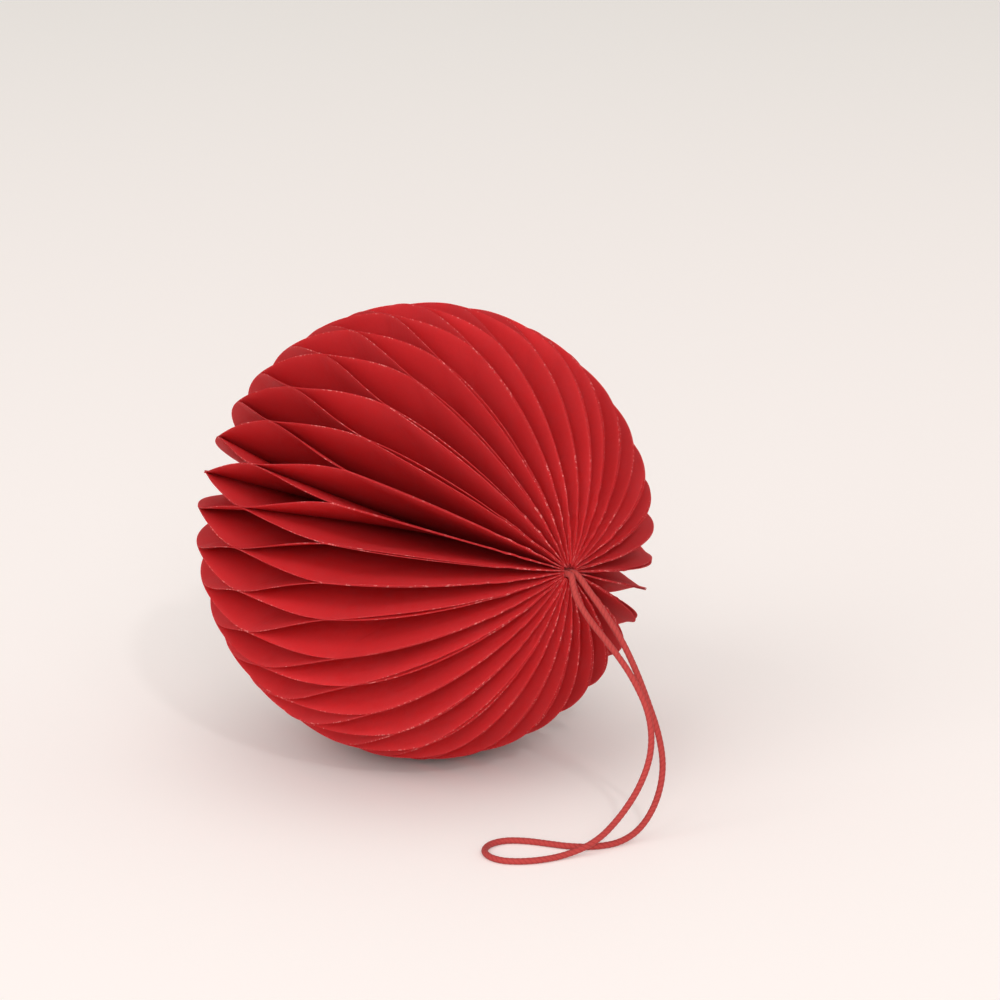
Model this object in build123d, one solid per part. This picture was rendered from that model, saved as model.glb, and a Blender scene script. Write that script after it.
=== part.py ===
from build123d import *
import os
from math import atan2, cos, degrees, pi, radians, sin, sqrt, tan

# A honeycomb paper ball on a cord loop, lying on a flat surface (z = 0), in millimetres.
# Half-disc paper leaves stand round a straight spine. Each leaf is glued to the leaf on one
# side at the middle ring and to the leaf on its other side at the rings above and below, so
# that the opened ball shows pointed cells; from the last rings the pairs stay together to the
# poles. The spine lies nearly level, its cord end towards -Y.

# Paper leaves
ball_diameter = 110.0
leaf_pairs = 34
leaf_thickness = 0.15
glue_film = 0.02
glue_pitch = 26.5
glue_width = 2.0
bend_softness = 0.4
half_bay_stations = 3
end_stations = 8

# How the ball lies: the rise of the spine's cord end, the turn of the first leaf about the
# spine in leaf steps, and how far the paper edges give where they carry the ball
spine_rise = 2.0
first_leaf_steps = 1.5
rest_flat = 0.5

# Cord: two strands go down the spine and end in a knot that is too thick for the channel
cord_diameter = 1.5
strand_gap = 0.1
strand_drop = 0.45
exit_length = 2.3
channel_clearance = 0.05
floor_clearance = 0.02
arc_share = 0.45

# Stop knot at the far end of the spine, its size in cord diameters, with its two cut tails
knot_ratio = 3.1
knot_seat = 0.2
tail_length = 5.0
tail_spread = 18.0

# Values that follow from the sizes above
ball_radius = ball_diameter / 2
leaf_count = 2 * leaf_pairs
half_step = pi / leaf_count
cord_radius = cord_diameter / 2
strand_side = cord_radius + strand_gap / 2
cord_reach = sqrt(strand_side**2 + strand_drop**2) + cord_radius
packed_radius = (leaf_thickness + glue_film) / (2 * tan(half_step))
spine_radius = max(packed_radius, cord_reach + channel_clearance)
pole_reach = sqrt(ball_radius**2 - spine_radius**2)
ring_count = int((ball_radius - glue_width) // glue_pitch)
bay_stations = 2 * half_bay_stations
knot_radius = knot_ratio * cord_radius
knot_half = sqrt(knot_radius**2 - (strand_side + cord_radius) ** 2)
lying = cord_radius + floor_clearance
centre_height = ball_radius - rest_flat

# The ball's own frame: +Z along the spine to the cord end, +Y upwards
spine_angle = radians(spine_rise)
ball_frame = Plane(
    origin=(0, 0, centre_height),
    x_dir=(1, 0, 0),
    z_dir=(0, -cos(spine_angle), sin(spine_angle)),
)

# The free cord's route after the spine, from its left strand round the loop to its right one
cord_route = [
    (-1.6, -58.6, 54.2),
    (-1.9, -59.7, 51.4),
    (-1.7, -64.0, 47.3),
    (-1.0, -71.3, 42.0),
    (-0.2, -77.5, 36.4),
    (0.8, -82.0, 29.0),
    (0.4, -83.4, 20.8),
    (-2.4, -82.8, 13.0),
    (-7.8, -82.0, 6.4),
    (-15.4, -82.8, 2.6),
    (-22.8, -81.2, lying),
    (-30.2, -79.7, lying),
    (-35.5, -75.9, lying),
    (-36.8, -71.7, lying),
    (-35.4, -67.6, lying),
    (-31.9, -65.1, lying),
    (-27.6, -65.2, lying),
    (-24.0, -68.3, lying),
    (-21.3, -72.7, lying),
    (-18.4, -77.6, lying),
    (-14.0, -81.3, lying),
    (-7.7, -82.6, lying),
    (-1.4, -82.4, 2.8),
    (3.0, -82.5, 8.4),
    (5.2, -82.0, 15.6),
    (5.0, -80.3, 23.2),
    (4.0, -77.6, 30.2),
    (3.0, -74.6, 37.0),
    (2.4, -70.3, 43.2),
    (1.7, -65.1, 48.5),
    (1.2, -60.8, 52.7),
]


# Paper leaves

def rim_reach(along):
    """Distance of the half-disc's cut edge from the ball's axis at a height along the spine."""
    return sqrt(ball_radius**2 - along**2)


def side_room(reach):
    """How far a leaf's middle leans over when it is glued to its neighbour at this reach."""
    return reach * tan(half_step) - (leaf_thickness + glue_film) / 2


def sway(share):
    """Sideways lean between two glued rings, from 1 at the first to -1 at the next."""
    straight = 1 - 2 * share
    curved = 1 - 6 * share**2 + 4 * share**3
    return straight + bend_softness * (curved - straight)


def rim_point(along, lean):
    """Middle of the cut edge at a height along the spine, for a lean between -1 and 1."""
    reach = rim_reach(along)
    return Vector(reach, lean * side_room(reach), along)


def spine_point(along, lean):
    """Middle of the leaf's inner edge at a height along the spine, for a lean of -1 or 1."""
    return Vector(spine_radius, lean * side_room(spine_radius), along)


def ring_span(ring):
    """Heights between which a leaf is flat at a glued ring; the end rings run to the poles."""
    low = ring * glue_pitch - glue_width / 2
    high = ring * glue_pitch + glue_width / 2
    if ring == -ring_count:
        low = -pole_reach
    if ring == ring_count:
        high = pole_reach
    return low, high


def ring_rim(ring, lean):
    """Cut edge of the flat stretch at one glued ring, stepped by equal angles near a pole."""
    low, high = ring_span(ring)
    steps = end_stations if abs(ring) == ring_count else 1
    start = atan2(low, rim_reach(low))
    end = atan2(high, rim_reach(high))
    angles = [start + (end - start) * i / steps for i in range(steps + 1)]
    return [rim_point(ball_radius * sin(angle), lean) for angle in angles]


def bay_rim(low, high, lean):
    """Cut edge between two glued rings, where it crosses to the other side in an S."""
    shares = [i / bay_stations for i in range(bay_stations + 1)]
    return [rim_point(low + (high - low) * s, lean * sway(s)) for s in shares]


def ring_panel(ring, lean):
    """Flat panel of the leaf at one glued ring; at a pole its cut edge ends on the spine."""
    low, high = ring_span(ring)
    inner = []
    if ring < ring_count:
        inner.append(spine_point(high, lean))
    if ring > -ring_count:
        inner.append(spine_point(low, lean))
    return ring_rim(ring, lean) + inner


def bay_panels(low, high, lean):
    """Flat triangles of a bay: two fans from the spine and one triangle between them."""
    rim = bay_rim(low, high, lean)
    middle = bay_stations // 2
    foot = spine_point(low, lean)
    head = spine_point(high, -lean)
    first = [[foot, rim[i], rim[i + 1]] for i in range(middle)]
    last = [[head, rim[i], rim[i + 1]] for i in range(middle, bay_stations)]
    return first + [[foot, rim[middle], head]] + last


def leaf_solid(first_lean):
    """One paper leaf in the ball's XZ plane, leaning first_lean at its middle ring."""
    front = Vector(0, leaf_thickness / 2, 0)
    panels = []
    rim = []
    spine = []
    for ring in range(-ring_count, ring_count + 1):
        lean = first_lean if ring % 2 == 0 else -first_lean
        low, high = ring_span(ring)
        panels.append(ring_panel(ring, lean))
        rim += ring_rim(ring, lean)
        spine += [spine_point(low, lean), spine_point(high, lean)]
        if ring < ring_count:
            next_low = ring_span(ring + 1)[0]
            panels += bay_panels(high, next_low, lean)
            rim += bay_rim(high, next_low, lean)[1:-1]
    faces = []
    for panel in panels:
        faces.append(Face(Wire.make_polygon([point + front for point in panel])))
        faces.append(Face(Wire.make_polygon([point - front for point in reversed(panel)])))
    for edge in (rim, spine):
        for here, there in zip(edge, edge[1:]):
            corners = [here + front, here - front, there - front, there + front]
            faces.append(Face(Wire.make_polygon(corners)))
    return Solid(Shell(faces))


def placed_leaf(pattern, index):
    """A leaf turned to its place round the spine, with its edge flat where the ball rests."""
    turn = degrees(2 * half_step) * (index + first_leaf_steps)
    leaf = ball_frame.location * Rotation(0, 0, turn) * pattern
    if leaf.bounding_box().min.Z < 0:
        leaf = split(leaf, bisect_by=Plane.XY, keep=Keep.TOP)
    return leaf


# Cord

def spine_spot(side, along):
    """A point on one strand's centre line inside the spine."""
    return ball_frame.from_local_coords(Vector(side * strand_side, -strand_drop, along))


def spine_strand(side):
    """One strand of the cord, straight through the spine from the knot to the cord end."""
    start = spine_spot(side, -pole_reach - knot_seat)
    end = spine_spot(side, pole_reach)
    return Solid.make_cylinder(cord_radius, (end - start).length, Plane(start, z_dir=end - start))


def arc_radius(before, point, after):
    """Largest arc that a corner's two runs leave room for."""
    arrive = point - before
    leave = after - point
    turn = radians(arrive.get_angle(leave))
    return arc_share * min(arrive.length, leave.length) / tan(turn / 2)


def free_cord():
    """The loop outside the ball: straight runs and tangent arcs between the two strands."""
    mouth, tip = pole_reach, pole_reach + exit_length
    out = [spine_spot(-1, mouth), spine_spot(-1, tip)]
    back = [spine_spot(1, tip), spine_spot(1, mouth)]
    points = out + [Vector(point) for point in cord_route] + back
    corners = list(zip(points, points[1:], points[2:]))
    radii = [arc_radius(*corner) for corner in corners]
    path = FilletPolyline(*points, radius=radii)
    start = Plane(origin=points[0], z_dir=points[1] - points[0])
    tube = sweep(start * Circle(cord_radius), path=path)
    print("cord arc radii:", [round(radius, 1) for radius in radii])
    print("cord length:", round(path.length, 1))
    plain_volume = pi * cord_radius**2 * path.length
    print("tube volume over section times length:", round(tube.volume / plain_volume, 4))
    return tube


def stop_knot():
    """The knot under the far end of the spine: a ball with flat ends and two short tails."""
    with BuildPart() as knot:
        Sphere(knot_radius)
        split(bisect_by=Plane.XY.offset(knot_half), keep=Keep.BOTTOM)
        split(bisect_by=Plane.XY.offset(-knot_half), keep=Keep.TOP)
        for side in (-1, 1):
            with Locations(Location((side * strand_side, 0, 0), (0, -side * tail_spread, 0))):
                Cylinder(
                    cord_radius,
                    knot_half + tail_length,
                    align=(Align.CENTER, Align.CENTER, Align.MAX),
                )
    seat = Location((0, -strand_drop, -pole_reach - knot_seat - knot_half))
    return ball_frame.location * seat * knot.part


os.makedirs("parts", exist_ok=True)
leaf_patterns = [leaf_solid(-1), leaf_solid(1)]
for pair in range(leaf_pairs):
    leaves = [placed_leaf(leaf_patterns[half], 2 * pair + half) for half in range(2)]
    export_step(Compound(leaves), f"parts/leaf_pair_{pair + 1:02d}.step")
export_step(spine_strand(-1), "parts/spine_cord_left.step")
export_step(spine_strand(1), "parts/spine_cord_right.step")
export_step(free_cord(), "parts/hanging_cord.step")
export_step(stop_knot(), "parts/stop_knot.step")
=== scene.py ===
"""Looks of a red honeycomb paper ball that lies on its side, with its cord loop on the floor."""

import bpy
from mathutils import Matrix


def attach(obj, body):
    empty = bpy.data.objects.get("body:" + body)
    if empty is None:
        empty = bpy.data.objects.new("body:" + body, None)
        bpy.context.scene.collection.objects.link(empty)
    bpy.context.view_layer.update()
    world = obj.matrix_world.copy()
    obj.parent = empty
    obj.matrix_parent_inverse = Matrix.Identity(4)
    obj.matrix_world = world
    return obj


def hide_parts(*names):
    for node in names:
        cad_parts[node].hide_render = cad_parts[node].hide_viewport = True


bl_info = {
    "name": "Honeycomb paper ball",
    "version": (1, 0, 0),
    "blender": (4, 5, 0),
    "location": "3D View > Sidebar > Paper ball",
    "description": "Makes the paper leaves, the cord, its knot and the studio of a honeycomb paper ball",
    "category": "Object",
}

from math import acos, cos, pi, radians, sin, sqrt, tan

import bpy
from bpy.props import FloatProperty, FloatVectorProperty, IntProperty, PointerProperty
from mathutils import Matrix, Vector

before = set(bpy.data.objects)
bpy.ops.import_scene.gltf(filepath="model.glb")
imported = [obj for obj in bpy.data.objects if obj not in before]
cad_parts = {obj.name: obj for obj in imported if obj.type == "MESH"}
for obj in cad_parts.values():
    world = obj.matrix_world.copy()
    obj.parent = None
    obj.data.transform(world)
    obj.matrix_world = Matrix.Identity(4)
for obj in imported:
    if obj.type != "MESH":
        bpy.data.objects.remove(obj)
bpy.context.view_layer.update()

MM = 0.001

# The free cord's route in millimetres, from its left strand round the loop to its right one
CORD_LYING = 0.77
CORD_ROUTE = [
    (-1.3, -57.2, 54.4),
    (-1.7, -58.8, 51.4),
    (-1.7, -63.6, 47.2),
    (-1.0, -71.3, 42.0),
    (-0.2, -77.5, 36.4),
    (0.8, -82.0, 29.0),
    (0.4, -83.4, 20.8),
    (-2.4, -82.8, 13.0),
    (-7.8, -82.0, 6.4),
    (-15.4, -82.8, 2.6),
    (-22.8, -81.2, CORD_LYING),
    (-30.2, -79.7, CORD_LYING),
    (-35.5, -75.9, CORD_LYING),
    (-36.8, -71.7, CORD_LYING),
    (-35.4, -67.6, CORD_LYING),
    (-31.9, -65.1, CORD_LYING),
    (-27.6, -65.2, CORD_LYING),
    (-24.0, -68.3, CORD_LYING),
    (-21.3, -72.7, CORD_LYING),
    (-18.4, -77.6, CORD_LYING),
    (-14.0, -81.3, CORD_LYING),
    (-7.7, -82.6, CORD_LYING),
    (-1.4, -82.4, 2.8),
    (3.0, -82.5, 8.4),
    (5.2, -82.0, 15.6),
    (5.0, -80.3, 23.2),
    (4.0, -77.6, 30.2),
    (3.0, -74.6, 37.0),
    (2.4, -70.3, 43.2),
    (1.7, -65.1, 48.5),
    (1.2, -60.2, 52.6),
]


class PaperSizes(bpy.types.PropertyGroup):
    """Sizes of the paper leaves and of how the ball lies"""

    ball_diameter: FloatProperty(
        name="Ball Diameter", description="Across the cut edges of the leaves",
        default=0.110, unit="LENGTH")
    leaf_pairs: IntProperty(
        name="Leaf Pairs", description="Glued pairs of half-disc leaves round the spine",
        default=34, min=4)
    leaf_thickness: FloatProperty(
        name="Leaf Thickness", description="Thickness of the paper",
        default=0.00015, unit="LENGTH")
    glue_film: FloatProperty(
        name="Glue Film", description="Room for the glue between two leaves at the spine",
        default=0.00002, unit="LENGTH")
    glue_pitch: FloatProperty(
        name="Glue Pitch", description="Distance between glued rings along the spine",
        default=0.0265, unit="LENGTH")
    glue_width: FloatProperty(
        name="Glue Width", description="Width of a glued ring",
        default=0.002, unit="LENGTH")
    bend_softness: FloatProperty(
        name="Bend Softness", description="How round a leaf bends between rings, from straight to smooth",
        default=0.4, subtype="FACTOR")
    spine_rise: FloatProperty(
        name="Spine Rise", description="Rise of the spine's cord end over level",
        default=radians(2), subtype="ANGLE")
    first_leaf_steps: FloatProperty(
        name="First Leaf", description="Turn of the first leaf about the spine, in leaf steps",
        default=1.5)
    rest_flat: FloatProperty(
        name="Resting Flat", description="How far the paper edges give under the ball",
        default=0.0005, unit="LENGTH")
    unevenness: FloatProperty(
        name="Unevenness", description="How far a glue line strays round the spine",
        default=radians(0.9), subtype="ANGLE")
    edge_wave: FloatProperty(
        name="Edge Wave", description="How far a leaf bulges out of its plain bend",
        default=0.0004, unit="LENGTH")
    end_opening: FloatProperty(
        name="End Opening", description="How far a pair's leaves part on the way to a pole",
        default=0.3, subtype="FACTOR")
    pole_ruffle: FloatProperty(
        name="Pole Ruffle", description="How far leaf ends fall short of the pole",
        default=0.0011, unit="LENGTH")
    pole_crumple: FloatProperty(
        name="Pole Crumple", description="How far pairs wrinkle near a pole, as a share of their room",
        default=2.4, subtype="FACTOR")
    mouth_closing: FloatProperty(
        name="Mouth Closing", description="How far the upper leaf ends close in over the strands",
        default=0.0012, unit="LENGTH")


class CordSizes(bpy.types.PropertyGroup):
    """Sizes of the cord and its knot"""

    diameter: FloatProperty(
        name="Diameter", description="Across the twisted cord",
        default=0.0015, unit="LENGTH")
    plies: IntProperty(
        name="Plies", description="Strands twisted into the cord",
        default=3, min=2)
    lay_length: FloatProperty(
        name="Lay Length", description="Length of one full twist",
        default=0.0036, unit="LENGTH")
    groove: FloatProperty(
        name="Groove", description="Depth of the groove between plies, as a share of the radius",
        default=0.06, subtype="FACTOR")
    strand_gap: FloatProperty(
        name="Strand Gap", description="Between the two strands inside the spine",
        default=0.0001, unit="LENGTH")
    strand_drop: FloatProperty(
        name="Strand Drop", description="How far the strands lie under the spine's axis",
        default=0.00045, unit="LENGTH")
    exit_length: FloatProperty(
        name="Exit Length", description="Straight run of a strand out of the spine",
        default=0.0013, unit="LENGTH")
    knot_press: FloatProperty(
        name="Knot Press", description="How far the knot presses into the leaf ends at the far pole",
        default=0.0002, unit="LENGTH")
    knot_ratio: FloatProperty(
        name="Knot Ratio", description="Knot diameter in cord diameters",
        default=3.1)
    tail_length: FloatProperty(
        name="Tail Length", description="Cut tail that stands out of the knot",
        default=0.005, unit="LENGTH")
    tail_spread: FloatProperty(
        name="Tail Spread", description="Lean of a tail away from the spine's line",
        default=radians(18), subtype="ANGLE")


class BallColours(bpy.types.PropertyGroup):
    """Colours of the paper, its cut edge, the cord and the studio, in linear values"""

    paper_deep: FloatVectorProperty(
        name="Paper Deep", description="Darker red of the dyed paper",
        subtype="COLOR", size=4, default=(0.58, 0.022, 0.026, 1))
    paper_bright: FloatVectorProperty(
        name="Paper Bright", description="Brighter red of the dyed paper",
        subtype="COLOR", size=4, default=(0.69, 0.033, 0.039, 1))
    # Painted highlight: a lighter, pinker red near the cut edges, standing in for light that catches the
    # edges and shines through the thin paper
    paper_rim_highlight: FloatVectorProperty(
        name="Paper Rim", description="Softer red where the sheet thins out towards its cut edge",
        subtype="COLOR", size=4, default=(0.71, 0.060, 0.066, 1))
    cut_core: FloatVectorProperty(
        name="Cut Core", description="Paler red where the cut shows the sheet's core",
        subtype="COLOR", size=4, default=(0.76, 0.22, 0.21, 1))
    # The darker cord red is partly random yarn tone and partly painted shade in the grooves between plies
    cord_deep_and_groove_shade: FloatVectorProperty(
        name="Cord Deep", description="Red in the grooves of the cord",
        subtype="COLOR", size=4, default=(0.39, 0.033, 0.030, 1))
    cord_bright: FloatVectorProperty(
        name="Cord Bright", description="Red on the crowns of the cord",
        subtype="COLOR", size=4, default=(0.48, 0.050, 0.044, 1))
    floor: FloatVectorProperty(
        name="Floor", description="Pale studio floor round the ball",
        subtype="COLOR", size=4, default=(0.93, 0.855, 0.825, 1))
    # Painted light: the floor turns this paler colour far from the ball, where the lamps reach less; it
    # is also the glow's colour
    far_floor_light: FloatVectorProperty(
        name="Far Floor", description="Paler studio floor far behind the ball",
        subtype="COLOR", size=4, default=(0.92, 0.875, 0.835, 1))
    daylight: FloatVectorProperty(
        name="Daylight", description="Even light of the studio",
        subtype="COLOR", size=4, default=(1.0, 0.985, 0.965, 1))


def paper():
    """Sizes of the paper ball."""
    return bpy.context.scene.paper_ball_sizes


def cord():
    """Sizes of the cord."""
    return bpy.context.scene.paper_ball_cord


def colours():
    """Colours of the ball and the studio."""
    return bpy.context.scene.paper_ball_colours


# Values that follow from the sizes

def half_step():
    """Half of the angle between two leaves."""
    return pi / (2 * paper().leaf_pairs)


def spine_radius():
    """Radius of the channel that the leaves' packed inner edges leave."""
    return (paper().leaf_thickness + paper().glue_film) / (2 * tan(half_step()))


def pole_reach():
    """Distance from the ball's centre to the mouth of the spine."""
    return sqrt((paper().ball_diameter / 2) ** 2 - spine_radius() ** 2)


def ball_frame():
    """The ball's own frame: +Z along the spine to the cord end, +Y upwards."""
    rise = paper().spine_rise
    along = Vector((0, -cos(rise), sin(rise)))
    up = Vector((0, sin(rise), cos(rise)))
    turn = Matrix((Vector((1, 0, 0)), up, along)).transposed()
    centre = Vector((0, 0, paper().ball_diameter / 2 - paper().rest_flat))
    return Matrix.Translation(centre) @ turn.to_4x4()


def spine_spot(side, along):
    """A point on one strand's centre line inside the spine."""
    across = side * (cord().diameter + cord().strand_gap) / 2
    return ball_frame() @ Vector((across, -cord().strand_drop, along))


# Node trees

class Wiring:
    """Adds nodes to a tree and wires them as they are added."""

    def __init__(self, tree):
        self.tree = tree

    def feed(self, socket, value):
        """Links a socket to an output, or sets it to a value."""
        if isinstance(value, bpy.types.NodeSocket):
            self.tree.links.new(value, socket)
        else:
            socket.default_value = value

    def put(self, kind, feeds=None, **settings):
        """A new node with its settings, fed by socket name."""
        node = self.tree.nodes.new(kind)
        for name, value in settings.items():
            setattr(node, name, value)
        for name, value in (feeds or {}).items():
            sockets = [s for s in node.inputs if s.name == name and s.enabled]
            self.feed(sockets[0], value)
        return node

    def math(self, operation, *values, clamp=False):
        """Result of one sum."""
        node = self.put("ShaderNodeMath", operation=operation, use_clamp=clamp)
        for socket, value in zip(node.inputs, values):
            self.feed(socket, value)
        return node.outputs[0]

    def ramp(self, value, low, high, smooth=True):
        """A value taken from low..high to 0..1, clamped."""
        kind = "SMOOTHSTEP" if smooth else "LINEAR"
        node = self.put(
            "ShaderNodeMapRange", {"Value": value, "From Min": low, "From Max": high},
            interpolation_type=kind)
        return node.outputs["Result"]

    def mix(self, kind, *values):
        """A mix by a share of a first and a second value or colour."""
        node = self.put("ShaderNodeMix", data_type=kind)
        for socket, value in zip([s for s in node.inputs if s.enabled], values):
            self.feed(socket, value)
        return next(s for s in node.outputs if s.enabled)

    def blend(self, share, first, second):
        """A value between two others."""
        return self.mix("FLOAT", share, first, second)

    def tint(self, share, first, second):
        """A colour between two others."""
        return self.mix("RGBA", share, first, second)

    def noise(self, parts, paces, detail):
        """Noise about zero that changes with three values, each at its own pace."""
        steps = [self.math("MULTIPLY", part, pace) for part, pace in zip(parts, paces)]
        place = self.put("ShaderNodeCombineXYZ", dict(zip("XYZ", steps)))
        node = self.put("ShaderNodeTexNoise", {
            "Vector": place.outputs[0], "Scale": 1.0, "Detail": detail})
        return self.math("SUBTRACT", node.outputs[0], 0.5)

    def random(self, low, high, number, seed):
        """A repeatable random value for a whole number."""
        node = self.put(
            "FunctionNodeRandomValue", {"Min": low, "Max": high, "ID": number, "Seed": seed},
            data_type="FLOAT")
        return next(s for s in node.outputs if s.enabled)

    def named(self, name, kind="FLOAT"):
        """A named attribute of the geometry."""
        node = self.put("GeometryNodeInputNamedAttribute", {"Name": name}, data_type=kind)
        return next(s for s in node.outputs if s.enabled and s.name == "Attribute")

    def store(self, geometry, name, value, kind="FLOAT", domain="POINT"):
        """Geometry with a named attribute added."""
        node = self.put("GeometryNodeStoreNamedAttribute", data_type=kind, domain=domain)
        self.feed(node.inputs["Geometry"], geometry)
        self.feed(node.inputs["Name"], name)
        self.feed(next(s for s in node.inputs if s.name == "Value" and s.enabled), value)
        return node.outputs[0]


def new_geometry_tree(name, inputs):
    """An empty Geometry Nodes tree with named inputs; gives the wiring and its inputs."""
    tree = bpy.data.node_groups.new(name, "GeometryNodeTree")
    tree.is_modifier = True
    tree.interface.new_socket("Geometry", in_out="INPUT", socket_type="NodeSocketGeometry")
    for title, kind in inputs.items():
        tree.interface.new_socket(title, in_out="INPUT", socket_type="NodeSocket" + kind)
    tree.interface.new_socket("Geometry", in_out="OUTPUT", socket_type="NodeSocketGeometry")
    wiring = Wiring(tree)
    return wiring, wiring.put("NodeGroupInput").outputs


def grown_piece(name, tree, values, base=None):
    """An object whose plain mesh is what the tree makes of a base mesh."""
    piece = bpy.data.objects.new(name, base or bpy.data.meshes.new(name))
    modifier = piece.modifiers.new(tree.name, "NODES")
    modifier.node_group = tree
    for item in tree.interface.items_tree:
        if item.in_out == "INPUT" and item.name in values:
            modifier[item.identifier] = values[item.name]
    bpy.context.scene.collection.objects.link(piece)
    depsgraph = bpy.context.evaluated_depsgraph_get()
    mesh = bpy.data.meshes.new_from_object(
        piece.evaluated_get(depsgraph), preserve_all_data_layers=True, depsgraph=depsgraph)
    piece.modifiers.remove(modifier)
    piece.data = mesh
    mesh.name = name
    return piece


LEAF_INPUTS = {
    "First Leaf": "Int",
    "Leaves": "Int",
    "Leaf Pairs": "Int",
    "Ball Radius": "Float",
    "Spine Radius": "Float",
    "Pole Angle": "Float",
    "Leaf Thickness": "Float",
    "Glue Pitch": "Float",
    "Glue Width": "Float",
    "Bend Softness": "Float",
    "End Opening": "Float",
    "First Turn": "Float",
    "Spine Rise": "Float",
    "Centre Height": "Float",
    "Unevenness": "Float",
    "Edge Wave": "Float",
    "Pole Ruffle": "Float",
    "Pole Crumple": "Float",
    "Mouth Closing": "Float",
    "Along Points": "Int",
    "Across Points": "Int",
    "Seed": "Int",
    "Paper": "Material",
    "Cut Edge": "Material",
}

# Angles from a leaf's middle between which its end wrinkles, falls short, closes in and shows pale
CRUMPLE_SPAN = radians(58), radians(80)
SHORT_SPAN = radians(74), radians(88)
TUCK_START = radians(85)
PALE_SPAN = radians(80), radians(87)

# Pace of the bulges by leaf, along and out, and of the wrinkles by pair, out and along
BULGE_PACES = 7.3, 45.0, 30.0
CRUMPLE_PACES = 5.7, 420.0, 60.0

# Keeps the random draws of a pair's two ends apart
OTHER_END = 100.0

# The paper's lowest place over the floor
FLOOR_GAP = 0.02 * MM


def leaf_blank(w, sizes):
    """Flat grid slabs, one for each leaf, which keep their grid place and leaf number."""
    slab = w.put("GeometryNodeMeshCube", {
        "Vertices X": sizes["Across Points"], "Vertices Y": 2, "Vertices Z": sizes["Along Points"]})
    blank = slab.outputs["Mesh"]
    normal = w.put("GeometryNodeInputNormal").outputs["Normal"]
    outward = w.put("ShaderNodeSeparateXYZ", {"Vector": normal}).outputs["X"]
    blank = w.store(blank, "cut", w.math("GREATER_THAN", outward, 0.5), "BOOLEAN", "FACE")
    blank = w.store(blank, "grid", w.put("GeometryNodeInputPosition").outputs[0], "FLOAT_VECTOR")
    edge_angle = w.put("GeometryNodeInputMeshEdgeAngle").outputs["Unsigned Angle"]
    corner = w.math("GREATER_THAN", edge_angle, 1.0)
    sharp = w.put("GeometryNodeSetShadeSmooth", {
        "Geometry": blank, "Selection": corner, "Shade Smooth": False}, domain="EDGE")
    row = w.put("GeometryNodeMeshLine", {"Count": sizes["Leaves"]})
    number = w.math("ADD", w.put("GeometryNodeInputIndex").outputs[0], sizes["First Leaf"])
    places = w.store(row.outputs["Mesh"], "leaf", number)
    stack = w.put("GeometryNodeInstanceOnPoints", {"Points": places, "Instance": sharp.outputs[0]})
    return w.put("GeometryNodeRealizeInstances", {"Geometry": stack.outputs["Instances"]}).outputs[0]


def pair_opening(w, sizes, pair, bays, glued):
    """How far a pair's leaves part between the last glued ring and the pole, a share of their lean."""
    pole_bays = w.math("DIVIDE", sizes["Ball Radius"], sizes["Glue Pitch"])
    end = w.math("SUBTRACT", w.math("ABSOLUTE", bays), w.math("ADD", 1.0, glued))
    end = w.math("DIVIDE", end, w.math("SUBTRACT", pole_bays, 1.0), clamp=True)
    opening = w.random(0.0, 1.0, pair, w.math("ADD", sizes["Seed"], 2.0))
    opening = w.math("MULTIPLY", opening, sizes["End Opening"])
    return w.math("MULTIPLY", opening, w.math("SINE", w.math("MULTIPLY", end, pi)))


def glue_stray(w, sizes, leaf, ring, cross):
    """Turn by which a glue line strays round the spine and takes both of its leaves along."""
    strays = []
    for step in (0.0, 1.0):
        this_ring = w.math("ADD", ring, step)
        odd = w.math("FLOORED_MODULO", this_ring, 2.0)
        line = w.math("SUBTRACT", w.math("ADD", leaf, 1.0), odd)
        line = w.math("FLOOR", w.math("MULTIPLY", line, 0.5))
        line = w.math("FLOORED_MODULO", line, sizes["Leaf Pairs"])
        lines_before = w.math("MULTIPLY", w.math("ADD", this_ring, 3.0), sizes["Leaf Pairs"])
        line = w.math("ADD", line, lines_before)
        strays.append(w.random(-1.0, 1.0, line, sizes["Seed"]))
    return w.math("MULTIPLY", w.blend(cross, *strays), sizes["Unevenness"])


def part_place(w, sizes, x, y, along):
    """Place in the part's frame of a point in the ball's, kept over the floor."""
    rise = sizes["Spine Rise"]
    cosine, sine = w.math("COSINE", rise), w.math("SINE", rise)
    back = w.math("SUBTRACT", w.math("MULTIPLY", y, sine), w.math("MULTIPLY", along, cosine))
    height = w.math("ADD", w.math("MULTIPLY", y, cosine), w.math("MULTIPLY", along, sine))
    height = w.math("MAXIMUM", w.math("ADD", height, sizes["Centre Height"]), FLOOR_GAP)
    return w.put("ShaderNodeCombineXYZ", {"X": x, "Y": back, "Z": height}).outputs[0]


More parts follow.
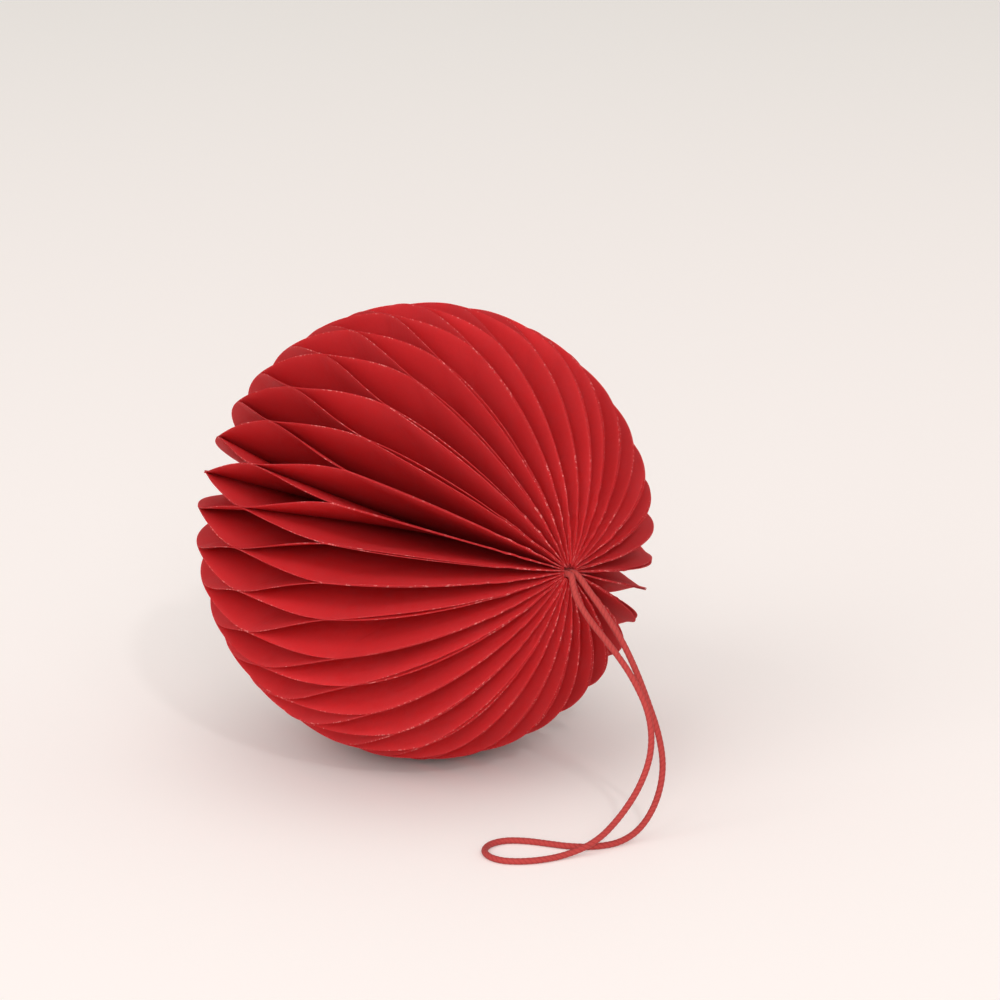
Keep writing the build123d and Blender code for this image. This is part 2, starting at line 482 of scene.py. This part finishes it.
def leaf_tree():
    """Bends flat slabs into half-disc leaves that touch at the glued rings by turns."""
    w, sizes = new_geometry_tree("Honeycomb leaves", LEAF_INPUTS)
    leaves = leaf_blank(w, sizes)
    grid = w.put("ShaderNodeSeparateXYZ", {"Vector": w.named("grid", "FLOAT_VECTOR")}).outputs
    leaf = w.named("leaf")
    seed = sizes["Seed"]

    # Place on the half disc: angle from its middle, height along the spine, distance from it
    angle = w.math("MULTIPLY", w.math("MULTIPLY", grid["Z"], 2.0), sizes["Pole Angle"])
    along = w.math("MULTIPLY", sizes["Ball Radius"], w.math("SINE", angle))
    reach = w.math("MULTIPLY", sizes["Ball Radius"], w.math("COSINE", angle))
    across = w.math("ADD", grid["X"], 0.5)
    depth = w.math("SUBTRACT", reach, sizes["Spine Radius"])
    out = w.math("MULTIPLY_ADD", depth, across, sizes["Spine Radius"])

    # Glued rings below and above this height, and the share of the way between their glue lines
    bays = w.math("DIVIDE", along, sizes["Glue Pitch"])
    bay = w.math("MINIMUM", w.math("MAXIMUM", bays, -1.0), 0.9999)
    ring = w.math("FLOOR", bay)
    share = w.math("SUBTRACT", bay, ring)
    glued = w.math("DIVIDE", w.math("MULTIPLY", sizes["Glue Width"], 0.5), sizes["Glue Pitch"])
    far_glued = w.math("SUBTRACT", 1.0, glued)
    straight = w.ramp(share, glued, far_glued, smooth=False)
    cross = w.blend(sizes["Bend Softness"], straight, w.ramp(share, glued, far_glued))
    odd_ring = w.math("FLOORED_MODULO", ring, 2.0)
    odd_leaf = w.math("FLOORED_MODULO", leaf, 2.0)
    side = w.math("MULTIPLY_ADD", odd_leaf, 2.0, -1.0)
    ring_side = w.math("MULTIPLY_ADD", odd_ring, -2.0, 1.0)
    lean = w.math("MULTIPLY_ADD", cross, -2.0, 1.0)
    lean = w.math("MULTIPLY", w.math("MULTIPLY", side, ring_side), lean)

    # Past the last rings a pair stays together, and parts a little on its way to the pole
    pair = w.math("FLOOR", w.math("MULTIPLY", leaf, 0.5))
    pair = w.math("ADD", pair, w.math("MULTIPLY", w.math("SIGN", bays), OTHER_END))
    opening = pair_opening(w, sizes, pair, bays, glued)
    lean = w.math("MULTIPLY", lean, w.math("SUBTRACT", 1.0, opening))

    # Sideways place: the lean to the next leaf, bulges between rings, wrinkled ends and thickness
    half = w.math("DIVIDE", pi / 2, sizes["Leaf Pairs"])
    packed = w.math("MULTIPLY", sizes["Leaf Thickness"], 0.5)
    room = w.math("SUBTRACT", w.math("MULTIPLY", out, w.math("TANGENT", half)), packed)
    room = w.math("MAXIMUM", room, 0.0)
    bulge = w.noise((leaf, along, out), BULGE_PACES, 1.0)
    free = w.math("MULTIPLY", w.math("MULTIPLY", cross, w.math("SUBTRACT", 1.0, cross)), 8.0)
    wave = w.math("MULTIPLY", sizes["Edge Wave"], across)
    wave = w.math("MULTIPLY", w.math("MULTIPLY", bulge, free), wave)
    sideways = w.math("ADD", w.math("MULTIPLY", lean, room), wave)
    crumple = w.math("MULTIPLY", w.noise((pair, out, along), CRUMPLE_PACES, 2.0), room)
    slant = w.math("ABSOLUTE", angle)
    near_end = w.ramp(slant, *CRUMPLE_SPAN)
    crumple = w.math("MULTIPLY", crumple, w.math("MULTIPLY", near_end, sizes["Pole Crumple"]))
    sideways = w.math("ADD", sideways, crumple)
    sideways = w.math("ADD", sideways, w.math("MULTIPLY", grid["Y"], sizes["Leaf Thickness"]))

    # Leaf ends fall a little short of the pole, each by its own amount
    short = w.random(0.0, 1.0, leaf, w.math("ADD", seed, 5.0))
    short = w.math("MULTIPLY", short, sizes["Pole Ruffle"])
    short = w.math("MULTIPLY", short, w.ramp(slant, *SHORT_SPAN))
    short = w.math("MULTIPLY", short, w.math("SIGN", angle))
    along = w.math("SUBTRACT", along, short)

    # Turn to the leaf's place round the spine; the upper ends close in over the strands
    turn = w.math("ADD", leaf, sizes["First Turn"])
    turn = w.math("MULTIPLY", turn, w.math("MULTIPLY", half, 2.0))
    turn = w.math("ADD", turn, glue_stray(w, sizes, leaf, ring, cross))
    cosine, sine = w.math("COSINE", turn), w.math("SINE", turn)
    tuck = w.random(0.35, 1.0, leaf, w.math("ADD", seed, 7.0))
    tuck = w.math("MULTIPLY", tuck, w.math("MAXIMUM", sine, 0.0))
    tuck = w.math("MULTIPLY", tuck, w.ramp(slant, TUCK_START, sizes["Pole Angle"]))
    out = w.math("SUBTRACT", out, w.math("MULTIPLY", tuck, sizes["Mouth Closing"]))

    x = w.math("SUBTRACT", w.math("MULTIPLY", out, cosine), w.math("MULTIPLY", sideways, sine))
    y = w.math("ADD", w.math("MULTIPLY", out, sine), w.math("MULTIPLY", sideways, cosine))
    place = part_place(w, sizes, x, y, along)

    # What the materials read, and the two materials
    leaves = w.store(leaves, "rim", w.math("MULTIPLY", w.math("SUBTRACT", 1.0, across), depth))
    leaves = w.store(leaves, "tone", w.random(0.0, 1.0, leaf, w.math("ADD", seed, 9.0)))
    leaves = w.store(leaves, "pole", w.ramp(slant, *PALE_SPAN))
    steps = [
        ("GeometryNodeSetPosition", {"Position": place}),
        ("GeometryNodeSetMaterial", {"Material": sizes["Paper"]}),
        ("GeometryNodeSetMaterial", {
            "Selection": w.named("cut", "BOOLEAN"), "Material": sizes["Cut Edge"]}),
    ]
    steps += [("GeometryNodeRemoveAttribute", {"Name": name}) for name in ("grid", "cut", "leaf")]
    for kind, feeds in steps:
        leaves = w.put(kind, {"Geometry": leaves, **feeds}).outputs[0]
    w.put("NodeGroupOutput", {"Geometry": leaves})
    return w.tree


CORD_INPUTS = {
    "Diameter": "Float",
    "Plies": "Int",
    "Lay Length": "Float",
    "Groove": "Float",
    "Step": "Float",
    "Cord": "Material",
}


def cord_tree():
    """Twists a lobed section along a line of points."""
    w, sizes = new_geometry_tree("Twisted cord", CORD_INPUTS)
    line = w.put("GeometryNodeMeshToCurve", {"Mesh": sizes["Geometry"]}).outputs[0]
    line = w.put("GeometryNodeResampleCurve", {
        "Curve": line, "Length": sizes["Step"]}, mode="LENGTH").outputs[0]
    length = w.put("GeometryNodeSplineParameter").outputs["Length"]
    twist = w.math("MULTIPLY", w.math("DIVIDE", length, sizes["Lay Length"]), 2 * pi)
    line = w.put("GeometryNodeSetCurveTilt", {"Curve": line, "Tilt": twist}).outputs[0]
    line = w.store(line, "along", length)
    ring = w.put("GeometryNodeCurvePrimitiveCircle", {
        "Resolution": 24, "Radius": w.math("MULTIPLY", sizes["Diameter"], 0.5)}).outputs["Curve"]
    spot = w.put("GeometryNodeInputPosition").outputs[0]
    parts = w.put("ShaderNodeSeparateXYZ", {"Vector": spot}).outputs
    round_angle = w.math("ARCTAN2", parts["Y"], parts["X"])
    ply_angle = w.math("MULTIPLY", round_angle, w.math("MULTIPLY", sizes["Plies"], 0.5))
    crown = w.math("ABSOLUTE", w.math("COSINE", ply_angle))
    ring = w.store(ring, "crown", crown)
    sunk = w.math("MULTIPLY", sizes["Groove"], w.math("SUBTRACT", 1.0, crown))
    moved = w.put("ShaderNodeVectorMath", {
        "Vector": spot, "Scale": w.math("SUBTRACT", 1.0, sunk)}, operation="SCALE").outputs[0]
    ring = w.put("GeometryNodeSetPosition", {"Geometry": ring, "Position": moved}).outputs[0]
    rope = w.put("GeometryNodeCurveToMesh", {
        "Curve": line, "Profile Curve": ring, "Fill Caps": True}).outputs[0]
    rope = w.put("GeometryNodeSetShadeSmooth", {"Geometry": rope, "Shade Smooth": True}).outputs[0]
    rope = w.put("GeometryNodeRealizeInstances", {"Geometry": rope}).outputs[0]
    rope = w.put("GeometryNodeSetMaterial", {"Geometry": rope, "Material": sizes["Cord"]}).outputs[0]
    w.put("NodeGroupOutput", {"Geometry": rope})
    return w.tree


# Materials

# Blotches and fibres per metre, of the paper, the cord and the floor
PAPER_GRAIN = 60.0, 1100.0
CORD_GRAIN = 260.0, 3600.0
FLOOR_GRAIN = 1.6, 300.0

# Parts of the blotch and fibre noise where flecks get dense and where they show
DENSE_SPAN = 0.40, 0.58
FLECK_SPAN = 0.54, 0.65
POLE_FLECK_SPAN = 0.46, 0.62

# Distances from the cut edge over which the paper's face gets a painted highlight, and over which it has
# flecks
RIM_HIGHLIGHT_SPAN = 0.0, 1.6 * MM
FLECKED_SPAN = 0.1 * MM, 0.35 * MM

# Distances from the ball over which the floor gets paler as painted light, and over which its glow comes
# up
FLOOR_SPAN = 0.1, 1.8
GLOW_SPAN = 0.0, 0.085
GLOW = 0.18


def grain_group():
    """Shader group for soft blotches and fine fibres in a dyed sheet or yarn."""
    group = bpy.data.node_groups.get("Fibre grain")
    if group:
        return group
    group = bpy.data.node_groups.new("Fibre grain", "ShaderNodeTree")
    for title, kind in (("Vector", "Vector"), ("Blotch Scale", "Float"), ("Fibre Scale", "Float")):
        group.interface.new_socket(title, in_out="INPUT", socket_type="NodeSocket" + kind)
    for title in ("Blotch", "Fibre"):
        group.interface.new_socket(title, in_out="OUTPUT", socket_type="NodeSocketFloat")
    w = Wiring(group)
    given = w.put("NodeGroupInput").outputs
    blotch = w.put("ShaderNodeTexNoise", {
        "Vector": given["Vector"], "Scale": given["Blotch Scale"], "Detail": 1.0, "Roughness": 0.5})
    fibre = w.put("ShaderNodeTexNoise", {
        "Vector": given["Vector"], "Scale": given["Fibre Scale"], "Detail": 2.0, "Roughness": 0.65})
    w.put("NodeGroupOutput", {"Blotch": blotch.outputs[0], "Fibre": fibre.outputs[0]})
    return group


def new_material(name):
    """A material with an empty tree; gives the material, its wiring and its Principled shader."""
    material = bpy.data.materials.new(name)
    material.use_nodes = True
    material.node_tree.nodes.clear()
    w = Wiring(material.node_tree)
    shader = w.put("ShaderNodeBsdfPrincipled")
    w.put("ShaderNodeOutputMaterial", {"Surface": shader.outputs[0]})
    return material, w, shader


def grain(w, blotch_scale, fibre_scale):
    """Blotch and fibre values on the piece's own coordinates."""
    node = w.put("ShaderNodeGroup", node_tree=grain_group())
    w.feed(node.inputs["Vector"], w.put("ShaderNodeTexCoord").outputs["Object"])
    w.feed(node.inputs["Blotch Scale"], blotch_scale)
    w.feed(node.inputs["Fibre Scale"], fibre_scale)
    return node.outputs["Blotch"], node.outputs["Fibre"]


def painted(w, name):
    """Value of a piece's own attribute, for a material."""
    return w.put("ShaderNodeAttribute", attribute_name=name).outputs["Fac"]


def about_zero(w, value, weight):
    """A noise value moved to swing about zero, with a weight."""
    return w.math("MULTIPLY", w.math("SUBTRACT", value, 0.5), weight)


def bumped(w, height, strength, distance):
    """Normal from a height."""
    node = w.put("ShaderNodeBump", {"Strength": strength, "Distance": distance, "Height": height})
    return node.outputs["Normal"]


def red_of(w, blotch, fibre, tone):
    """The paper's red, uneven from leaf to leaf and over each leaf."""
    share = w.math("ADD", about_zero(w, blotch, 0.9), 0.5)
    share = w.math("ADD", share, about_zero(w, fibre, 0.7))
    share = w.math("ADD", share, about_zero(w, tone, 0.5), clamp=True)
    return w.tint(share, tuple(colours().paper_deep), tuple(colours().paper_bright))


def flecks(w, blotch, fibre):
    """Broken pale flecks along a cut edge, denser on some stretches than on others."""
    dense = w.math("MULTIPLY_ADD", w.ramp(blotch, *DENSE_SPAN), 0.85, 0.15)
    return w.math("MULTIPLY", w.ramp(fibre, *FLECK_SPAN), dense)


def paper_material():
    """Matte dyed paper with a painted highlight and pale flecks close to its cut edge."""
    material, w, shader = new_material("dyed_paper")
    blotch, fibre = grain(w, *PAPER_GRAIN)
    red = red_of(w, blotch, fibre, painted(w, "tone"))
    rim = painted(w, "rim")
    # Painted highlight: the face turns a lighter, pinker red within 1.6 mm of the cut edge
    rim_highlight = w.math("MULTIPLY", w.math("SUBTRACT", 1.0, w.ramp(rim, *RIM_HIGHLIGHT_SPAN)), 0.25)
    red = w.tint(rim_highlight, red, tuple(colours().paper_rim_highlight))
    near = w.math("SUBTRACT", 1.0, w.ramp(rim, *FLECKED_SPAN))
    fleck = w.math("MULTIPLY", flecks(w, blotch, fibre), near)
    w.feed(shader.inputs["Base Color"], w.tint(fleck, red, tuple(colours().cut_core)))
    w.feed(shader.inputs["Roughness"], w.math("MULTIPLY_ADD", fibre, 0.2, 0.62))
    shader.inputs["Specular IOR Level"].default_value = 0.15
    shader.inputs["Subsurface Weight"].default_value = 1.0
    shader.inputs["Subsurface Radius"].default_value = (1.0, 0.3, 0.3)
    shader.inputs["Subsurface Scale"].default_value = 0.25 * MM
    w.feed(shader.inputs["Normal"], bumped(w, fibre, 0.25, 0.05 * MM))
    return material


def cut_edge_material():
    """Cut edge of the paper, broken between the dyed face and the paler core."""
    material, w, shader = new_material("paper_cut_edge")
    blotch, fibre = grain(w, *PAPER_GRAIN)
    red = w.tint(0.25, red_of(w, blotch, fibre, painted(w, "tone")), (0, 0, 0, 1))
    pale = w.math("MULTIPLY", painted(w, "pole"), 0.45)
    pale = w.math("MULTIPLY", pale, w.ramp(fibre, *POLE_FLECK_SPAN))
    pale = w.math("MAXIMUM", pale, flecks(w, blotch, fibre))
    w.feed(shader.inputs["Base Color"], w.tint(pale, red, tuple(colours().cut_core)))
    shader.inputs["Roughness"].default_value = 0.9
    shader.inputs["Specular IOR Level"].default_value = 0.15
    w.feed(shader.inputs["Normal"], bumped(w, fibre, 0.4, 0.05 * MM))
    return material


def cord_material():
    """Twisted yarn cord, with painted shade between its plies."""
    material, w, shader = new_material("twisted_cord")
    blotch, fibre = grain(w, *CORD_GRAIN)
    # Painted shade: the red darkens from the crowns of the plies into the grooves between them, on top of
    # random yarn tone
    share = w.math("ADD", w.ramp(painted(w, "crown"), 0.05, 0.75), about_zero(w, fibre, 1.1))
    share = w.math("ADD", share, about_zero(w, blotch, 0.6), clamp=True)
    red = w.tint(share, tuple(colours().cord_deep_and_groove_shade), tuple(colours().cord_bright))
    w.feed(shader.inputs["Base Color"], red)
    shader.inputs["Roughness"].default_value = 0.75
    shader.inputs["Specular IOR Level"].default_value = 0.3
    shader.inputs["Sheen Weight"].default_value = 0.08
    shader.inputs["Sheen Roughness"].default_value = 0.5
    w.feed(shader.inputs["Normal"], bumped(w, fibre, 0.5, 0.08 * MM))
    return material


def floor_material():
    """Pale matte floor, with painted light that makes it paler far from the ball where the lamps reach
    less, and a faint glow that the camera sees and that lights nothing.
    """
    material, w, shader = new_material("studio_floor")
    blotch, fibre = grain(w, *FLOOR_GRAIN)
    place = w.put("ShaderNodeTexCoord").outputs["Object"]
    distance = w.put("ShaderNodeVectorMath", {"Vector": place}, operation="LENGTH").outputs["Value"]
    # Painted light: the floor is paler far from the ball, where the lamps reach less
    share = w.math("ADD", w.ramp(distance, *FLOOR_SPAN), about_zero(w, blotch, 0.1), clamp=True)
    pale = w.tint(share, tuple(colours().floor), tuple(colours().far_floor_light))
    w.feed(shader.inputs["Base Color"], pale)
    w.feed(shader.inputs["Roughness"], w.math("MULTIPLY_ADD", fibre, 0.1, 0.7))
    shader.inputs["Specular IOR Level"].default_value = 0.2
    ray = w.put("ShaderNodeLightPath").outputs
    seen = w.math("MAXIMUM", ray["Is Glossy Ray"], ray["Is Transmission Ray"])
    seen = w.math("MAXIMUM", ray["Is Camera Ray"], seen)
    glow = w.math("MULTIPLY", w.ramp(distance, *GLOW_SPAN), GLOW)
    w.feed(shader.inputs["Emission Color"], tuple(colours().far_floor_light))
    w.feed(shader.inputs["Emission Strength"], w.math("MULTIPLY", seen, glow))
    return material


# Pieces

def hold(piece, slot, *nodes):
    """A finished piece stands for its CAD nodes and moves with the ball."""
    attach(piece, "root")
    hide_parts(*nodes)
    return piece


class PAPERBALL_OT_leaves(bpy.types.Operator):
    """Make the glued paper leaves, in two groups round the spine"""

    bl_idname = "paper_ball.leaves"
    bl_label = "Make Paper Leaves"

    def execute(self, context):
        sizes = paper()
        tree = leaf_tree()
        group = 17
        end_width = 0.3 * MM
        values = {
            "Leaf Pairs": sizes.leaf_pairs,
            "Ball Radius": sizes.ball_diameter / 2,
            "Spine Radius": spine_radius(),
            "Pole Angle": acos((spine_radius() + end_width) / (sizes.ball_diameter / 2)),
            "Leaf Thickness": sizes.leaf_thickness,
            "Glue Pitch": sizes.glue_pitch,
            "Glue Width": sizes.glue_width,
            "Bend Softness": sizes.bend_softness,
            "End Opening": sizes.end_opening,
            "First Turn": sizes.first_leaf_steps,
            "Spine Rise": sizes.spine_rise,
            "Centre Height": sizes.ball_diameter / 2 - sizes.rest_flat,
            "Unevenness": sizes.unevenness,
            "Edge Wave": sizes.edge_wave,
            "Pole Ruffle": sizes.pole_ruffle,
            "Pole Crumple": sizes.pole_crumple,
            "Mouth Closing": sizes.mouth_closing,
            "Along Points": 97,
            "Across Points": 11,
            "Seed": 4,
            "Paper": paper_material(),
            "Cut Edge": cut_edge_material(),
        }
        for first in range(0, sizes.leaf_pairs, group):
            values.update({"First Leaf": 2 * first, "Leaves": 2 * group})
            piece = grown_piece(f"paper_leaves_{first // group + 1}", tree, values)
            nodes = [f"leaf_pair_{pair + 1:02d}" for pair in range(first, first + group)]
            hold(piece, "paper", *nodes)
        return {"FINISHED"}


def smooth_line(name, points):
    """A line of points along the smooth curve that a route steers."""
    curve = bpy.data.curves.new(name, "CURVE")
    curve.dimensions = "3D"
    curve.resolution_u = 16
    spline = curve.splines.new("NURBS")
    spline.points.add(len(points) - 1)
    for point, place in zip(spline.points, points):
        point.co = (*place, 1)
    spline.order_u = 3
    spline.use_endpoint_u = True
    guide = bpy.data.objects.new(name, curve)
    line = bpy.data.meshes.new_from_object(guide)
    bpy.data.objects.remove(guide)
    return line


def rope_piece(name, lines):
    """Twisted cord along one or more lines, as one piece."""
    tree = bpy.data.node_groups.get("Twisted cord") or cord_tree()
    yarn = bpy.data.materials.get("twisted_cord") or cord_material()
    base = bpy.data.meshes.new(name)
    points, edges = [], []
    for line in lines:
        start = len(points)
        points += [tuple(vertex.co) for vertex in line.vertices]
        edges += [(start + edge.vertices[0], start + edge.vertices[1]) for edge in line.edges]
    base.from_pydata(points, edges, [])
    sizes = cord()
    return grown_piece(name, tree, {
        "Diameter": sizes.diameter,
        "Plies": sizes.plies,
        "Lay Length": sizes.lay_length,
        "Groove": sizes.groove,
        "Step": 0.25 * MM,
        "Cord": yarn,
    }, base)


class PAPERBALL_OT_cord(bpy.types.Operator):
    """Make the free cord loop that comes out of the ball and lies on the floor"""

    bl_idname = "paper_ball.cord"
    bl_label = "Make Hanging Cord"

    def execute(self, context):
        mouth, tip = pole_reach(), pole_reach() + cord().exit_length
        route = [Vector(point) * MM for point in CORD_ROUTE]
        route = [spine_spot(-1, mouth), spine_spot(-1, tip)] + route
        route += [spine_spot(1, tip), spine_spot(1, mouth)]
        line = smooth_line("cord_line", route)
        piece = hold(rope_piece("hanging_cord_twisted", [line]), "cord", "hanging_cord")
        return {"FINISHED"}


class PAPERBALL_OT_spine_strands(bpy.types.Operator):
    """Make the two strands that run through the spine"""

    bl_idname = "paper_ball.spine_strands"
    bl_label = "Make Spine Strands"

    def execute(self, context):
        end = -pole_reach() - cord().diameter
        for side, name in ((-1, "left"), (1, "right")):
            places = [spine_spot(side, end), spine_spot(side, 0), spine_spot(side, pole_reach())]
            line = smooth_line(f"spine_{name}_line", places)
            hold(rope_piece(f"spine_strand_{name}", [line]), "cord", f"spine_cord_{name}")
        return {"FINISHED"}


class PAPERBALL_OT_knot(bpy.types.Operator):
    """Make the stop knot behind the far pole, with its two cut tails"""

    bl_idname = "paper_ball.knot"
    bl_label = "Make Stop Knot"

    def execute(self, context):
        sizes = cord()
        radius = sizes.knot_ratio * sizes.diameter / 2
        face = sizes.diameter + sizes.strand_gap / 2
        half = sqrt(radius ** 2 - face ** 2)
        scale = (radius - sizes.diameter / 2) / 3
        swell = 1.4
        height = swell * scale + sizes.diameter / 2
        pressed = half - height + sizes.knot_press
        place = ball_frame() @ Matrix.Translation((0, -sizes.strand_drop, pressed - pole_reach() - half))
        bow = []
        for step in range(25):
            t = 2 * pi * step / 24
            spot = Vector((sin(t) + 2 * sin(2 * t), cos(t) - 2 * cos(2 * t), -swell * sin(3 * t)))
            bow.append(place @ (scale * spot))
        lines = [smooth_line("knot_line", bow)]
        for side in (-1, 1):
            lean = Vector((side * sin(sizes.tail_spread), 0, -cos(sizes.tail_spread)))
            start = Vector((side * (sizes.diameter + sizes.strand_gap) / 2, 0, 0))
            reach = half + sizes.tail_length + pressed
            tail = [start + lean * reach * share for share in (0, 0.5, 1)]
            lines.append(smooth_line("tail_line", [place @ point for point in tail]))
        hold(rope_piece("stop_knot_tied", lines), "cord", "stop_knot")
        return {"FINISHED"}


# Camera: turned to the left of the cord end and raised, its distance, lens and aim past the middle
VIEW_TURN, VIEW_LIFT = radians(37), radians(15)
VIEW_DISTANCE = 0.770
VIEW_LENS = 114.9
AIM_RIGHT, AIM_UP = 0.01802, 0.00729

# Even light, and half of the floor's side
WORLD_LIGHT = 0.53
FLOOR_REACH = 4.0

# Lamps: name, degrees to the left of the camera, degrees over level, size in metres, watts
LAMP_DISTANCE = 4.0
LAMPS = (
    ("key", -16, 37, 0.2, 16.0),
    ("soft_key", -16, 37, 1.8, 20.0),
    ("front", 0, 18, 1.6, 50.0),
    ("fill", 46, 34, 3.0, 44.0),
)


def heading(turn, lift):
    """Direction from the ball to something turned from its cord end and raised over level."""
    return Vector((-sin(turn) * cos(lift), -cos(turn) * cos(lift), sin(lift)))


class PAPERBALL_OT_stage(bpy.types.Operator):
    """Make the floor, the lamps and the camera"""

    bl_idname = "paper_ball.stage"
    bl_label = "Make Stage"

    def execute(self, context):
        scene = context.scene
        scene.view_settings.view_transform = "Standard"
        floor = bpy.data.meshes.new("studio_floor")
        corners = [(x * FLOOR_REACH, y * FLOOR_REACH, 0) for x, y in ((-1, -1), (1, -1), (1, 1), (-1, 1))]
        floor.from_pydata(corners, [], [(0, 1, 2, 3)])
        floor.materials.append(floor_material())
        ground = bpy.data.objects.new("studio_floor", floor)
        scene.collection.objects.link(ground)

        world = bpy.data.worlds.new("studio_light")
        world.use_nodes = True
        light = world.node_tree.nodes["Background"].inputs
        light["Color"].default_value = tuple(colours().daylight)
        light["Strength"].default_value = WORLD_LIGHT
        scene.world = world

        centre = Vector((0, 0, paper().ball_diameter / 2 - paper().rest_flat))
        for name, aside, lift, size, power in LAMPS:
            self.lamp(name, centre, heading(VIEW_TURN + radians(aside), radians(lift)), size, power)

        camera = bpy.data.cameras.new("photo_camera")
        camera.lens = VIEW_LENS
        camera.sensor_width = 36.0
        view = bpy.data.objects.new("photo_camera", camera)
        scene.collection.objects.link(view)
        back = heading(VIEW_TURN, VIEW_LIFT)
        right = Vector((cos(VIEW_TURN), -sin(VIEW_TURN), 0))
        up = right.cross(-back)
        aim = centre + right * AIM_RIGHT + up * AIM_UP
        view.location = centre + back * VIEW_DISTANCE
        view.rotation_euler = (aim - view.location).to_track_quat("-Z", "Y").to_euler()
        scene.camera = view
        return {"FINISHED"}

    def lamp(self, name, target, direction, size, power):
        """A soft square lamp that looks at a point."""
        light = bpy.data.lights.new(name, "AREA")
        light.size = size
        light.energy = power
        lamp = bpy.data.objects.new(name, light)
        lamp.location = target + direction * LAMP_DISTANCE
        lamp.rotation_euler = (target - lamp.location).to_track_quat("-Z", "Y").to_euler()
        bpy.context.scene.collection.objects.link(lamp)


class PAPERBALL_PT_panel(bpy.types.Panel):
    """Lists the pieces and sizes of the paper ball"""

    bl_idname = "PAPERBALL_PT_panel"
    bl_label = "Paper Ball"
    bl_space_type = "VIEW_3D"
    bl_region_type = "UI"
    bl_category = "Paper ball"

    def draw(self, context):
        for operator in OPERATORS:
            self.layout.operator(operator.bl_idname)
        for group in (paper(), cord(), colours()):
            box = self.layout.box()
            for name in group.__annotations__:
                box.prop(group, name)


OPERATORS = (
    PAPERBALL_OT_leaves,
    PAPERBALL_OT_cord,
    PAPERBALL_OT_spine_strands,
    PAPERBALL_OT_knot,
    PAPERBALL_OT_stage,
)
CLASSES = (PaperSizes, CordSizes, BallColours) + OPERATORS + (PAPERBALL_PT_panel,)


def register():
    for each in CLASSES:
        bpy.utils.register_class(each)
    bpy.types.Scene.paper_ball_sizes = PointerProperty(type=PaperSizes)
    bpy.types.Scene.paper_ball_cord = PointerProperty(type=CordSizes)
    bpy.types.Scene.paper_ball_colours = PointerProperty(type=BallColours)


def unregister():
    del bpy.types.Scene.paper_ball_colours
    del bpy.types.Scene.paper_ball_cord
    del bpy.types.Scene.paper_ball_sizes
    for each in reversed(CLASSES):
        bpy.utils.unregister_class(each)


def main():
    register()
    bpy.ops.paper_ball.stage()
    bpy.ops.paper_ball.cord()
    bpy.ops.paper_ball.spine_strands()
    bpy.ops.paper_ball.knot()
    bpy.ops.paper_ball.leaves()


if __name__ == "__main__":
    main()
